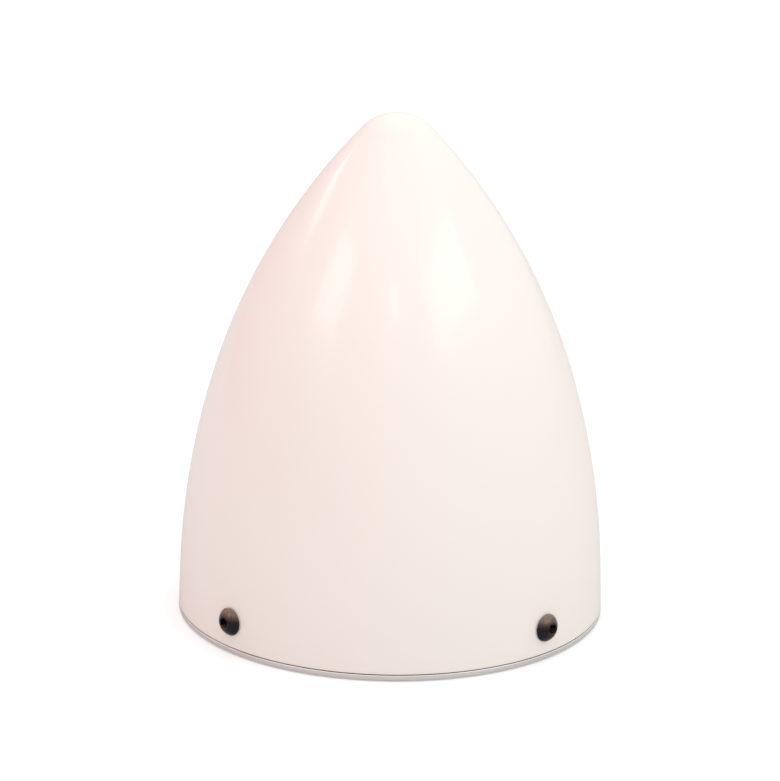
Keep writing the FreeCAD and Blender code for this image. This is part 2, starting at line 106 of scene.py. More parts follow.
def closed_mesh(name: str, grid: np.ndarray, crease: float) -> bpy.types.Mesh:
    """Make a closed mesh of rings that share an axis, with a pole in place of the first and the last row.

    Faces look outwards when the rows run from the upper pole outwards and down.

    Args:
        name: name of the mesh.
        grid: points in millimetres, rows by columns by 3; the first and last rows are each one point.
        crease: edges that turn by more than this many degrees are shaded sharp.

    Returns:
        The mesh, in metres.
    """
    rows, columns = grid.shape[:2]
    points = np.concatenate([grid[:1, 0], grid[1:-1].reshape(-1, 3), grid[-1:, 0]]) * MM
    ring = 1 + np.arange((rows - 2) * columns).reshape(rows - 2, columns)
    beside = np.roll(ring, -1, axis=1)
    quads = np.stack([ring[:-1], ring[1:], beside[1:], beside[:-1]], axis=-1).reshape(-1, 4)
    first = np.stack([np.zeros(columns, int), ring[0], beside[0]], axis=-1)
    last = np.stack([np.full(columns, len(points) - 1), beside[-1], ring[-1]], axis=-1)
    corners = np.concatenate([first.ravel(), quads.ravel(), last.ravel()])
    sizes = np.concatenate([np.full(columns, 3), np.full(len(quads), 4), np.full(columns, 3)])
    starts = np.concatenate([[0], np.cumsum(sizes)[:-1]])

    mesh = bpy.data.meshes.new(name)
    mesh.vertices.add(len(points))
    mesh.vertices.foreach_set("co", points.ravel())
    mesh.loops.add(len(corners))
    mesh.loops.foreach_set("vertex_index", corners)
    mesh.polygons.add(len(sizes))
    mesh.polygons.foreach_set("loop_start", starts)
    mesh.update(calc_edges=True)
    mesh.validate()
    mesh.shade_smooth()
    mesh.set_sharp_from_angle(angle=math.radians(crease))
    return mesh


def face_rows(rows: int, columns: int) -> np.ndarray:
    """Which gap between rows each face of closed_mesh lies in, in the order of its faces."""
    return np.repeat(np.arange(rows - 1), columns)


def rounded(corner: Pair, start: Pair, end: Pair) -> np.ndarray:
    """Round a corner with a curve that is tangent to both its sides.

    Formula: the quadratic curve (1-t)^2 start + 2t(1-t) corner + t^2 end.

    Args:
        corner: the sharp corner.
        start: where the curve leaves the first side.
        end: where it meets the second side.

    Returns:
        A few points from start to end.
    """
    t = np.linspace(0, 1, CORNER_POINTS)[:, None]
    return (1 - t) ** 2 * np.array(start) + 2 * t * (1 - t) * np.array(corner) + t**2 * np.array(end)


def radial_axis(node: str) -> tuple[np.ndarray, float]:
    """Find the axis of a node that lies along a radius.

    Args:
        node: a CAD node whose axis is horizontal and crosses the spin axis.

    Returns:
        The unit vector outwards along it, and its height in millimetres.
    """
    low, high = (np.array(corner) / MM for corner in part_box(node))
    middle = (low + high) / 2
    return np.array([middle[0], middle[1], 0.0]) / math.hypot(middle[0], middle[1]), middle[2]


def laid_radially(points: np.ndarray, node: str) -> np.ndarray:
    """Turn points so that their Z runs outwards along a node's axis, from the spin axis, and their X up.

    Formula: x times up, plus y times the cross product of outward and up, plus z times outward, raised by
    the node's height.

    Args:
        points: places in millimetres, with 3 numbers in their last dimension.
        node: a CAD node whose axis is horizontal and crosses the spin axis.

    Returns:
        The places in the object's frame.
    """
    outward, height = radial_axis(node)
    upward = np.array([0.0, 0.0, 1.0])
    axes = np.stack([upward, np.cross(outward, upward), outward])
    return points @ axes + upward * height


# ---------------------------------------------------------------------------------------------------------
# Effects and finishes


class Wiring:
    """A node tree with short ways to add and link nodes."""

    def __init__(self, tree: bpy.types.NodeTree) -> None:
        """Keep the tree and clear it."""
        self.tree = tree
        tree.nodes.clear()

    def add(self, kind: str, inputs: dict | None = None, **settings: object) -> bpy.types.Node:
        """Add a node.

        Args:
            kind: its type name without the ShaderNode prefix, or a whole type name.
            inputs: values or output sockets for its inputs, by name or number.
            settings: properties of the node itself.

        Returns:
            The node.
        """
        node = self.tree.nodes.new(kind if kind.startswith("NodeGroup") else f"ShaderNode{kind}")
        for name, value in settings.items():
            setattr(node, name, value)
        for name, value in (inputs or {}).items():
            if isinstance(value, bpy.types.NodeSocket):
                self.tree.links.new(value, node.inputs[name])
            else:
                node.inputs[name].default_value = value
        return node

    def math(self, operation: str, *values: float | bpy.types.NodeSocket) -> bpy.types.NodeSocket:
        """Combine values or sockets with a Math node, and return its output."""
        node = self.add("Math", dict(enumerate(values)), operation=operation)
        return node.outputs[0]

    def object_place(self) -> bpy.types.NodeSocket:
        """The shaded point in Object coordinates."""
        return self.add("TexCoord").outputs["Object"]

    def blend(self, share: bpy.types.NodeSocket, low: Colour, high: Colour) -> bpy.types.NodeSocket:
        """Mix two colours, from low where the share is 0 to high where it is 1."""
        node = self.add("Mix", {0: share, 6: (*low, 1), 7: (*high, 1)}, data_type="RGBA")
        return node.outputs[2]

    def noise(
        self, place: bpy.types.NodeSocket, scale: float | bpy.types.NodeSocket, detail: float
    ) -> bpy.types.NodeSocket:
        """Noise from 0 to 1 at a place, with a number or a socket for its scale."""
        node = self.add("TexNoise", {"Vector": place, "Scale": scale, "Detail": detail})
        return node.outputs["Fac"]


class Effects:
    """Shader groups that several finishes share, each built once."""

    RIPPLE_DETAIL = 1.0
    HANDLING_DETAIL = 3.0
    HANDLING_RANGE = (0.2, 0.8)

    def __init__(self) -> None:
        """Build the groups."""
        self.ripple = self._ripple()
        self.handling = self._handling()

    @staticmethod
    def _group(
        name: str, inputs: dict[str, float], output: str, kind: str
    ) -> tuple[bpy.types.NodeTree, Wiring]:
        """Start a shader group.

        Args:
            name: its name.
            inputs: names and defaults of its float inputs.
            output: name of its one output.
            kind: the output's socket type.

        Returns:
            The group and its wiring.
        """
        tree = bpy.data.node_groups.new(name, "ShaderNodeTree")
        for label, value in inputs.items():
            socket = tree.interface.new_socket(name=label, in_out="INPUT", socket_type="NodeSocketFloat")
            socket.default_value = value
        tree.interface.new_socket(name=output, in_out="OUTPUT", socket_type=kind)
        return tree, Wiring(tree)

    def _ripple(self) -> bpy.types.NodeTree:
        """Soft ripple of a surface.

        Formula: a bump whose height is noise of low detail at a given scale.

        Returns:
            The group.
        """
        tree, wiring = self._group(
            "soft_ripple", {"Scale": 100.0, "Height": 0.0001}, "Normal", "NodeSocketVector"
        )
        entry = wiring.add("NodeGroupInput").outputs
        noise = wiring.noise(wiring.object_place(), entry["Scale"], self.RIPPLE_DETAIL)
        bump = wiring.add("Bump", {"Height": noise, "Distance": entry["Height"], "Strength": 1.0})
        wiring.add("NodeGroupOutput", {"Normal": bump.outputs["Normal"]})
        return tree

    def _handling(self) -> bpy.types.NodeTree:
        """Uneven gloss left by wiping.

        Formula: noise eased from its middle range to Low..High.

        Returns:
            The group.
        """
        tree, wiring = self._group(
            "handling", {"Scale": 40.0, "Low": 0.1, "High": 0.2}, "Roughness", "NodeSocketFloat"
        )
        entry = wiring.add("NodeGroupInput").outputs
        low, high = self.HANDLING_RANGE
        spread = wiring.add(
            "MapRange",
            {
                "Value": wiring.noise(wiring.object_place(), entry["Scale"], self.HANDLING_DETAIL),
                "From Min": low,
                "From Max": high,
                "To Min": entry["Low"],
                "To Max": entry["High"],
            },
            interpolation_type="SMOOTHSTEP",
        )
        wiring.add("NodeGroupOutput", {"Roughness": spread.outputs["Result"]})
        return tree

    def rippled(self, wiring: Wiring, scale: float, height: float) -> bpy.types.NodeSocket:
        """The normal of a softly rippled surface.

        Args:
            wiring: the finish's nodes.
            scale: how fine the ripple is.
            height: how high it is, in metres.

        Returns:
            The normal.
        """
        group = wiring.add("Group", node_tree=self.ripple)
        group.inputs["Scale"].default_value = scale
        group.inputs["Height"].default_value = height
        return group.outputs["Normal"]

    def handled(self, wiring: Wiring, scale: float, limits: Pair) -> bpy.types.NodeSocket:
        """The roughness of a handled surface.

        Args:
            wiring: the finish's nodes.
            scale: how fine the unevenness is.
            limits: lowest and highest roughness.

        Returns:
            The roughness.
        """
        group = wiring.add("Group", node_tree=self.handling)
        group.inputs["Scale"].default_value = scale
        group.inputs["Low"].default_value, group.inputs["High"].default_value = limits
        return group.outputs["Roughness"]


def new_finish(name: str) -> tuple[bpy.types.Material, Wiring, bpy.types.Node]:
    """Start a material.

    Args:
        name: its name.

    Returns:
        The material, its wiring and its Principled shader, already joined to the output.
    """
    material = bpy.data.materials.new(name)
    material.use_nodes = True
    wiring = Wiring(material.node_tree)
    shader = wiring.add("BsdfPrincipled")
    wiring.add("OutputMaterial", {"Surface": shader.outputs["BSDF"]})
    return material, wiring, shader


def set_inputs(shader: bpy.types.Node, **values: float) -> None:
    """Set a shader's own sockets; an underscore in a name stands for a space."""
    for name, value in values.items():
        shader.inputs[name.replace("_", " ")].default_value = value


def join(shader: bpy.types.Node, **sockets: bpy.types.NodeSocket) -> None:
    """Link sockets to a shader's inputs; an underscore in a name stands for a space."""
    for name, socket in sockets.items():
        shader.id_data.links.new(socket, shader.inputs[name.replace("_", " ")])


@dataclass(frozen=True)
class Gelcoat:
    """Polished creamy-white gelcoat under a clear, barely rippled gloss."""

    colour: Colour = (0.905, 0.873, 0.826)
    shade: Colour = (0.892, 0.852, 0.804)
    cloud_scale: float = 14.0
    cloud_detail: float = 2.0
    roughness: Pair = (0.29, 0.36)
    handling_scale: float = 35.0
    ior: float = 1.5
    coat: float = 0.6
    coat_roughness: float = 0.12
    ripple_scale: float = 160.0
    ripple_height: float = 0.000008

    def material(self, effects: Effects) -> bpy.types.Material:
        """Build the finish.

        Args:
            effects: the shared shader groups.

        Returns:
            The material.
        """
        material, wiring, shader = new_finish("gelcoat")
        clouds = wiring.noise(wiring.object_place(), self.cloud_scale, self.cloud_detail)
        join(
            shader,
            Base_Color=wiring.blend(clouds, self.shade, self.colour),
            Roughness=effects.handled(wiring, self.handling_scale, self.roughness),
            Normal=effects.rippled(wiring, self.ripple_scale, self.ripple_height),
        )
        set_inputs(shader, IOR=self.ior, Coat_IOR=self.ior)
        set_inputs(shader, Coat_Weight=self.coat, Coat_Roughness=self.coat_roughness)
        return material


@dataclass(frozen=True)
class Laminate:
    """Bare glass cloth in resin, as the cone is inside."""

    resin: Colour = (0.46, 0.45, 0.30)
    glass: Colour = (0.70, 0.69, 0.55)
    tow: float = 2.4
    weave_height: float = 0.00012
    weave_strength: float = 0.8
    ripple_scale: float = 300.0
    ripple_height: float = 0.0001
    roughness: float = 0.38
    coat: float = 0.4
    coat_roughness: float = 0.2

    def material(self, effects: Effects) -> bpy.types.Material:
        """Build the finish: a plain weave of tows along the wall's own coordinates.

        Formula: warp and weft are |sin| of each coordinate over a tow, and a checker of whole tows says
        which of the two lies on top.

        Args:
            effects: the shared shader groups.

        Returns:
            The material.
        """
        material, wiring, shader = new_finish("laminate")
        wall = wiring.add("UVMap", uv_map="wall").outputs["UV"]
        split = wiring.add("SeparateXYZ", {0: wall}).outputs
        step = math.pi / self.tow
        warp, weft = (
            wiring.math("ABSOLUTE", wiring.math("SINE", wiring.math("MULTIPLY", split[way], step)))
            for way in ("X", "Y")
        )
        checker = wiring.add("TexChecker", {"Vector": wall, "Scale": 1 / self.tow}).outputs["Fac"]
        top = wiring.add("Mix", {0: checker, 2: warp, 3: weft}, data_type="FLOAT").outputs[0]
        weave = wiring.add(
            "Bump",
            {
                "Height": top,
                "Distance": self.weave_height,
                "Strength": self.weave_strength,
                "Normal": effects.rippled(wiring, self.ripple_scale, self.ripple_height),
            },
        )
        join(
            shader,
            Base_Color=wiring.blend(top, self.resin, self.glass),
            Normal=weave.outputs["Normal"],
        )
        set_inputs(shader, Roughness=self.roughness)
        set_inputs(shader, Coat_Weight=self.coat, Coat_Roughness=self.coat_roughness)
        return material


@dataclass(frozen=True)
class TurnedAluminium:
    """Aluminium with fine rings left by the turning tool, with painted shade in their grooves."""

    colour: Colour = (0.90, 0.885, 0.875)
    groove_shade: Colour = (0.70, 0.69, 0.685)
    pass_width: float = 0.45
    pass_detail: float = 3.0
    groove: float = 0.00002
    roughness: Pair = (0.29, 0.37)
    handling_scale: float = 60.0

    def material(self, effects: Effects) -> bpy.types.Material:
        """Build the finish.

        Formula: the rings' height and tint are noise read at (distance from the spin axis, 0, height), so
        that they are the same all round. The tint is painted shade: darker where the rings are low, in
        their grooves.

        Args:
            effects: the shared shader groups.

        Returns:
            The material.
        """
        material, wiring, shader = new_finish("turned_aluminium")
        split = wiring.add("SeparateXYZ", {0: wiring.object_place()}).outputs
        flat = wiring.add("CombineXYZ", {0: split["X"], 1: split["Y"]}).outputs[0]
        radius = wiring.add("VectorMath", {0: flat}, operation="LENGTH").outputs["Value"]
        place = wiring.add("CombineXYZ", {0: radius, 2: split["Z"]}).outputs[0]
        rings = wiring.noise(place, 1 / (self.pass_width * MM), self.pass_detail)
        bump = wiring.add("Bump", {"Height": rings, "Distance": self.groove, "Strength": 1.0})
        join(
            shader,
            # Painted shade: the colour is darker where the rings' height is low, in the grooves.
            Base_Color=wiring.blend(rings, self.groove_shade, self.colour),
            Roughness=effects.handled(wiring, self.handling_scale, self.roughness),
            Normal=bump.outputs["Normal"],
        )
        set_inputs(shader, Metallic=1.0)
        return material


@dataclass(frozen=True)
class BlackOxide:
    """Oiled black oxide on steel, with a warm painted highlight, broken up by a fine grain, on what faces
    up.
    """

    colour: Colour = (0.013, 0.009, 0.015)
    painted_highlight: Colour = (0.29, 0.21, 0.16)
    highlight_facing: Pair = (0.1, 1.0)
    highlight_amount: float = 1.6
    grain_scale: float = 3200.0
    grain_detail: float = 3.0
    roughness: Pair = (0.29, 0.42)
    handling_scale: float = 700.0
    ripple_scale: float = 7000.0
    ripple_height: float = 0.000006
    metallic: float = 0.7
    specular: float = 0.35
    coat: float = 0.15
    coat_roughness: float = 0.2

    def material(self, effects: Effects) -> bpy.types.Material:
        """Build the finish.

        Formula: the painted highlight's cover is how far the surface faces up, eased, times a fine grain
        and an amount.

        Args:
            effects: the shared shader groups.

        Returns:
            The material.
        """
        material, wiring, shader = new_finish("black_oxide")
        # Painted highlight: the side that faces up is made warm and lighter, as if lit from above.
        upward = wiring.add("SeparateXYZ", {0: wiring.add("NewGeometry").outputs["Normal"]}).outputs["Z"]
        start, end = self.highlight_facing
        facing = wiring.add(
            "MapRange",
            {"Value": upward, "From Min": start, "From Max": end},
            interpolation_type="SMOOTHSTEP",
        ).outputs[0]
        grain = wiring.noise(wiring.object_place(), self.grain_scale, self.grain_detail)
        highlight_cover = wiring.math("MULTIPLY", facing, wiring.math("MULTIPLY", grain, self.highlight_amount))
        join(
            shader,
            Base_Color=wiring.blend(highlight_cover, self.colour, self.painted_highlight),
            Roughness=effects.handled(wiring, self.handling_scale, self.roughness),
            Normal=effects.rippled(wiring, self.ripple_scale, self.ripple_height),
        )
        set_inputs(shader, Metallic=self.metallic, Specular_IOR_Level=self.specular)
        set_inputs(shader, Coat_Weight=self.coat, Coat_Roughness=self.coat_roughness)
        return material


# ---------------------------------------------------------------------------------------------------------
# Sub-assemblies


def finished_piece(mesh: bpy.types.Mesh, slot: Slot, *nodes: str) -> bpy.types.Object:
    """Put a mesh into the scene in place of CAD nodes.

    Args:
        mesh: the piece, with its place in its points.
        slot: not used.
        nodes: CAD nodes that it stands for.

    Returns:
        The new object.
    """
    piece = bpy.data.objects.new(mesh.name, mesh)
    bpy.context.scene.collection.objects.link(piece)
    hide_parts(*nodes)
    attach(piece, "root")
    return piece


@dataclass
class Cone:
    """The laminated ogive shell, in millimetres above the parting line."""

    nose_radius: float = 10.0
    flank_ratio: float = 1.05
    flank_centre_height: float = 1.6
    shoulder_height: float = 49.0
    band_height: float = 7.8
    lip_break: float = 0.15
    seam_gap: float = 0.2
    seam_depth: float = 1.2
    skin: float = 1.5
    land_buildup: float = 0.5
    land_height: float = 12.0
    land_runout: float = 2.0
    hole_radius: float = 1.6
    drill_inside: float = 6.0
    drill_outside: float = 2.0
    cloth_radius_share: float = 0.8
    crease: float = 40.0
    columns: int = 256
    outer_points: int = 170
    band_points: int = 12
    seat_points: int = 4
    land_points: int = 14
    runout_points: int = 5
    inner_points: int = 110
    drill_crease: float = 32.0
    drill_columns: int = 48
    screws: tuple[str, ...] = ()
    base_radius: float = field(init=False)
    length: float = field(init=False)
    parting_line: float = field(init=False)

    def __post_init__(self) -> None:
        """Take the overall sizes from the CAD node."""
        low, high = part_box("cone")
        self.base_radius = high.x / MM
        self.parting_line = low.z / MM
        self.length = (high.z - low.z) / MM

    def wall(self, depth: float, foot: float, count: int) -> np.ndarray:
        """The flank and nose, a depth inside the outer face, from the axis down to a height.

        Formula: three tangent arcs, each met at the angle t where a line from its centre rises by t, so
        that a point is centre(t) + (radius(t) - depth)(cos t, sin t). t falls from a quarter turn at the
        tip, and the points are evenly spaced along the curve.

        Args:
            depth: how far inside the outer face.
            foot: height of the lowest point.
            count: number of points.

        Returns:
            Radii and heights, one row per point, from the tip down.
        """
        base, nose, shoulder = self.base_radius, self.nose_radius, self.shoulder_height
        nose_height = self.length - nose
        flank = self.flank_ratio * (base**2 - nose**2 + nose_height**2) / (2 * (base - nose))
        band_turn = math.asin((self.band_height - self.flank_centre_height) / flank)
        band_top = base - (self.band_height - self.lip_break) * math.tan(band_turn)
        flank_centre = (band_top - flank * math.cos(band_turn), self.flank_centre_height)
        turn = math.asin((shoulder - self.flank_centre_height) / flank)
        shoulder_radius = flank_centre[0] + flank * math.cos(turn)
        rise = shoulder - nose_height
        upper = (shoulder_radius**2 + rise**2 - nose**2) / (
            2 * (shoulder_radius * math.cos(turn) + rise * math.sin(turn) - nose)
        )
        upper_centre = (shoulder_radius - upper * math.cos(turn), shoulder - upper * math.sin(turn))
        nose_turn = math.atan2(nose_height - upper_centre[1], -upper_centre[0])
        foot_turn = math.asin((foot - self.flank_centre_height) / (flank - depth))

        turns = np.array([math.pi / 2, nose_turn, turn, foot_turn])
        radii = np.array([nose, upper, flank]) - depth
        centres = np.array([(0.0, nose_height), upper_centre, flank_centre])
        along = np.concatenate([[0], np.cumsum(radii * -np.diff(turns))])
        spot = np.linspace(0, along[-1], count)
        angle = np.interp(spot, along, turns)
        arc = np.clip(np.searchsorted(along, spot, side="right") - 1, 0, 2)
        return centres[arc] + radii[arc, None] * np.stack([np.cos(angle), np.sin(angle)], axis=-1)

    def profile(self) -> tuple[np.ndarray, int]:
        """The shell's closed half section, from the outer tip round the base to the inner tip.

        Returns:
            Radii and heights above the parting line, and how many of the points are gelcoat.
        """
        base, lip, gap = self.base_radius, self.lip_break, self.seam_gap
        land = base - self.skin - self.land_buildup
        outer = self.wall(0, self.band_height, self.outer_points)
        outer[0, 0] = 0.0
        band = np.linspace(outer[-1], (base, gap + lip), self.band_points)[1:-1]
        edge = rounded((base, gap), (base, gap + lip), (base - lip, gap))
        step = np.array([(base - self.seam_depth, gap), (base - self.seam_depth, 0.0)])
        seat = np.linspace(step[-1], (land, 0.0), self.seat_points)[1:]
        bored = np.linspace((land, 0.0), (land, self.land_height), self.land_points)[1:]
        inner = self.wall(self.skin, self.land_height + self.land_runout, self.inner_points)[::-1]
        inner[-1, 0] = 0.0
        runout = np.linspace(bored[-1], inner[0], self.runout_points)[1:-1]
        painted = len(outer) + len(band) + len(edge)
        return np.concatenate([outer, band, edge, step, seat, bored, runout, inner]), painted

    def build(self, gelcoat: bpy.types.Material, laminate: bpy.types.Material) -> bpy.types.Object:
        """Make the shell and dress its two sides.

        Args:
            gelcoat: finish of the outside.
            laminate: finish of the inside.

        Returns:
            The piece.
        """
        profile, painted = self.profile()
        raised = profile + (0.0, self.parting_line)
        mesh = closed_mesh("spinner_cone", turned_points(raised, self.columns), self.crease)
        mesh.materials.append(gelcoat)
        mesh.materials.append(laminate)
        rows = face_rows(len(profile), self.columns)
        sides = np.where(rows < painted - 1, Wall.GELCOAT.value, Wall.LAMINATE.value)
        mesh.polygons.foreach_set("material_index", sides.astype(np.int32))
        self.lay_cloth(mesh)
        shell = finished_piece(mesh, Slot.GELCOAT, "cone")
        self.drill(shell)
        return shell

    def drill(self, shell: bpy.types.Object) -> None:
        """Cut a clearance hole for each screw, and keep the result as the shell's own mesh.

        Formula: each hole is a cylinder along its screw, from inside the land to beyond the outer face.

        Args:
            shell: the piece.
        """
        start, end = self.base_radius - self.drill_inside, self.base_radius + self.drill_outside
        radius = self.hole_radius
        profile = np.array([(0.0, end), (radius, end), (radius, start), (0.0, start)])
        drills = []
        for node in self.screws:
            points = laid_radially(turned_points(profile, self.drill_columns), node)
            mesh = closed_mesh(f"drill_{node}", points, self.drill_crease)
            for material in shell.data.materials:
                mesh.materials.append(material)
            sides = np.full(len(mesh.polygons), Wall.LAMINATE.value, np.int32)
            mesh.polygons.foreach_set("material_index", sides)
            drill = bpy.data.objects.new(mesh.name, mesh)
            bpy.context.scene.collection.objects.link(drill)
            cut = shell.modifiers.new(drill.name, "BOOLEAN")
            cut.object, cut.operation, cut.solver = drill, "DIFFERENCE", "EXACT"
            drills.append(drill)
        whole = shell.evaluated_get(bpy.context.evaluated_depsgraph_get())
        drilled = bpy.data.meshes.new_from_object(whole)
        shell.modifiers.clear()
        shell.data = drilled
        drilled.name = shell.name
        for drill in drills:
            bpy.data.objects.remove(drill)

    def lay_cloth(self, mesh: bpy.types.Mesh) -> None:
        """Give the shell wall coordinates in millimetres, for the glass cloth.

        Formula: across is the angle about the axis times a share of the base's radius, and up is the
        height. A face that spans the seam of the angles has its low angles raised by a full turn.

        Args:
            mesh: the shell.
        """
        corners = np.empty(len(mesh.loops), np.int32)
        mesh.loops.foreach_get("vertex_index", corners)
        points = np.empty(len(mesh.vertices) * 3, np.float32)
        mesh.vertices.foreach_get("co", points)
        x, y, z = points.reshape(-1, 3)[corners].T
        starts = np.empty(len(mesh.polygons), np.int32)
        mesh.polygons.foreach_get("loop_start", starts)
        face = np.repeat(np.arange(len(starts)), np.diff(np.append(starts, len(corners))))
        angle = np.arctan2(y, x)
        highest = np.full(len(starts), -math.pi)
        np.maximum.at(highest, face, angle)
        angle = np.where(highest[face] - angle > math.pi, angle + FULL_TURN, angle)
        across = angle * self.base_radius * self.cloth_radius_share
        cloth = mesh.uv_layers.new(name="wall")
        spread = np.stack([across, z / MM], axis=-1)
        cloth.data.foreach_set("uv", spread.astype(np.float32).ravel())


@dataclass
class ButtonScrew:
    """A button-head screw, in millimetres above its bearing face."""

    node: str
    clocking: float
    head_radius: float = 2.85
    head_height: float = 1.65
    head_rim: float = 0.25
    crown_radius: float = 1.3
    socket_flats: float = 2.0
    socket_depth: float = 1.1
    socket_point: float = 0.22
    socket_chamfer: float = 0.08
    edge: float = 0.07
    shank_radius: float = 1.5
    shank_length: float = 8.0
    tip_chamfer: float = 0.4
    pitch: float = 0.5
    thread_depth: float = 0.3
    crease: float = 32.0
    columns: int = 72
    floor_rows: int = 4
    wall_rows: int = 6
    dome_rows: int = 18
    rows_per_pitch: int = 8

    def socket_rows(self, turn: np.ndarray) -> list[tuple[np.ndarray, np.ndarray]]:
        """Rows of the hexagon socket, from its bottom's centre out to its mouth.

        Formula: the hexagon's radius at angle t is half the flats over cos(u), where u is t's distance
        from the middle of its side, at most a twelfth of a turn. The floor falls to a point.

        Args:
            turn: angles of the columns.

        Returns:
            A pair of radius and height arrays per row.
        """
        sixth = FULL_TURN / 6
        hexagon = self.socket_flats / 2 / np.cos((turn % sixth) - sixth / 2)
        mouth = np.full_like(turn, self.socket_flats / math.sqrt(3) + self.socket_chamfer / 2)
        floor = self.head_height - self.socket_depth
        level = np.ones_like(turn)
        shares = np.linspace(0, 1, self.floor_rows)
        rows = [(hexagon * s, level * (floor - self.socket_point * (1 - s))) for s in shares]
        upper = self.head_height - self.socket_chamfer
        rows += [(hexagon, level * h) for h in np.linspace(floor, upper, self.wall_rows)[1:]]
        rows.append((mouth, level * self.head_height))
        return rows

    def head_rows(self, turn: np.ndarray) -> list[tuple[np.ndarray, np.ndarray]]:
        """Rows of the crown, the dome, the rim and the underside.

        Formula: the dome is a sphere through the crown's circle and the top of the rim, and both its edges
        are rounded.

        Args:
            turn: angles of the columns.

        Returns:
            A pair of radius and height arrays per row.
        """
        crown, head, rim, top = self.crown_radius, self.head_radius, self.head_rim, self.head_height
        rise = top - rim
        centre = top - (rise**2 + head**2 - crown**2) / (2 * rise)
        dome = math.hypot(crown, top - centre)
        first, last = math.atan2(top - centre, crown), math.atan2(rim - centre, head)
        angles = np.linspace(first, last, self.dome_rows)[1:-1]
        arc = np.stack([dome * np.cos(angles), centre + dome * np.sin(angles)], axis=-1)
        profile = np.concatenate(
            [
                rounded((crown, top), (crown - self.edge, top), tuple(arc[0])),
                arc[1:-1],
                rounded((head, rim), tuple(arc[-1]), (head, rim - self.edge)),
                rounded((head, 0.0), (head, self.edge), (head - self.edge, 0.0)),
                [(self.shank_radius + self.edge, 0.0)],
            ]
        )
        level = np.ones_like(turn)
        return [(level * radius, level * height) for radius, height in profile]

    def shank_rows(self, turn: np.ndarray) -> list[tuple[np.ndarray, np.ndarray]]:
        """Rows of the threaded shank, down to the middle of its tip.

        Formula: the groove's depth is a triangle wave of (height over pitch less angle over a full turn),
        faded in below the head and out at the tip, and the tip's chamfer caps the radius.

        Args:
            turn: angles of the columns.

        Returns:
            A pair of radius and height arrays per row.
        """
        count = self.rows_per_pitch * round(self.shank_length / self.pitch) + 1
        heights = np.linspace(-self.edge, -self.shank_length, count)
        phase = heights[:, None] / self.pitch - turn / FULL_TURN
        wave = np.abs(2 * (phase % 1) - 1)
        fade = np.clip(-heights / self.pitch, 0, 1)[:, None]
        radius = self.shank_radius - self.thread_depth * wave * fade
        end = heights[:, None] + self.shank_length
        radius = np.minimum(radius, self.shank_radius - self.tip_chamfer + end)
        level = np.ones_like(turn)
        rows = [(row, level * height) for row, height in zip(radius, heights)]
        rows += [(radius[-1] * share, -level * self.shank_length) for share in (0.5, 0.0)]
        return rows

    def build(self, material: bpy.types.Material) -> bpy.types.Object:
        """Make the screw on its CAD node's axis and dress it.

        Its own Z is turned outwards along the radius through the node's middle, and its X upwards.

        Args:
            material: finish of the screw.

        Returns:
            The piece.
        """
        turn = np.arange(self.columns) * FULL_TURN / self.columns
        rows = self.socket_rows(turn) + self.head_rows(turn) + self.shank_rows(turn)
        radius, height = (np.array(column) for column in zip(*rows))
        spin = turn + self.clocking
        points = np.stack([radius * np.cos(spin), radius * np.sin(spin), height + self.seat()], axis=-1)
        mesh = closed_mesh(f"dressed_{self.node}", laid_radially(points, self.node), self.crease)
        mesh.materials.append(material)
        return finished_piece(mesh, Slot.BLACK_OXIDE, self.node)

    def seat(self) -> float:
        """How far from the spin axis the head bears, found from the node's box.

        Formula: the box's face nearest the axis touches the rim of the tip, whose middle is the length of
        the shank inside the bearing face.

        Returns:
            The distance in millimetres.
        """
        outward, _ = radial_axis(self.node)
        low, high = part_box(self.node)
        nearest = min(abs(low.x), abs(high.x)) / MM
        rim = (self.shank_radius - self.tip_chamfer) * abs(outward[1])
        return (nearest + rim) / abs(outward[0]) + self.shank_length


@dataclass
class Backplate:
    """The turned and milled plate, which keeps its CAD form."""

    node: str = "backplate"

    def dress(self, material: bpy.types.Material) -> bpy.types.Object:
        """Give the plate its finish.

        Args:
            material: finish of the plate.

        Returns:
            The CAD node.
        """
        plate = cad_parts[self.node]
        plate.data.materials.clear()
        plate.data.materials.append(material)
        return plate


# ---------------------------------------------------------------------------------------------------------
# Stage


@dataclass(frozen=True)
class Softbox:
    """A rectangular light that faces the middle of the spinner, in metres and degrees."""

    name: str
    bearing: float
    elevation: float
    distance: float
    width: float
    height: float
    radiance: float
    colour: Colour = (1.0, 1.0, 1.0)
    aim: Place = (0.0, 0.0, 0.055)

    def place(self) -> None:
        """Hang the light. A bearing of 0 is in front, and 90 is to the right.

        Formula: its power is its radiance times pi times its area.
        """
        light = bpy.data.lights.new(self.name, "AREA")
        light.shape = "RECTANGLE"
        light.size, light.size_y = self.width, self.height
        light.energy = self.radiance * math.pi * self.width * self.height
        light.color = self.colour
        bearing, elevation = math.radians(self.bearing), math.radians(self.elevation)
        level = math.cos(elevation)
        away = Vector((math.sin(bearing) * level, -math.cos(bearing) * level, math.sin(elevation)))
        lamp = bpy.data.objects.new(self.name, light)
        lamp.location = Vector(self.aim) + away * self.distance
        lamp.rotation_euler = away.to_track_quat("Z", "Y").to_euler()
        bpy.context.scene.collection.objects.link(lamp)


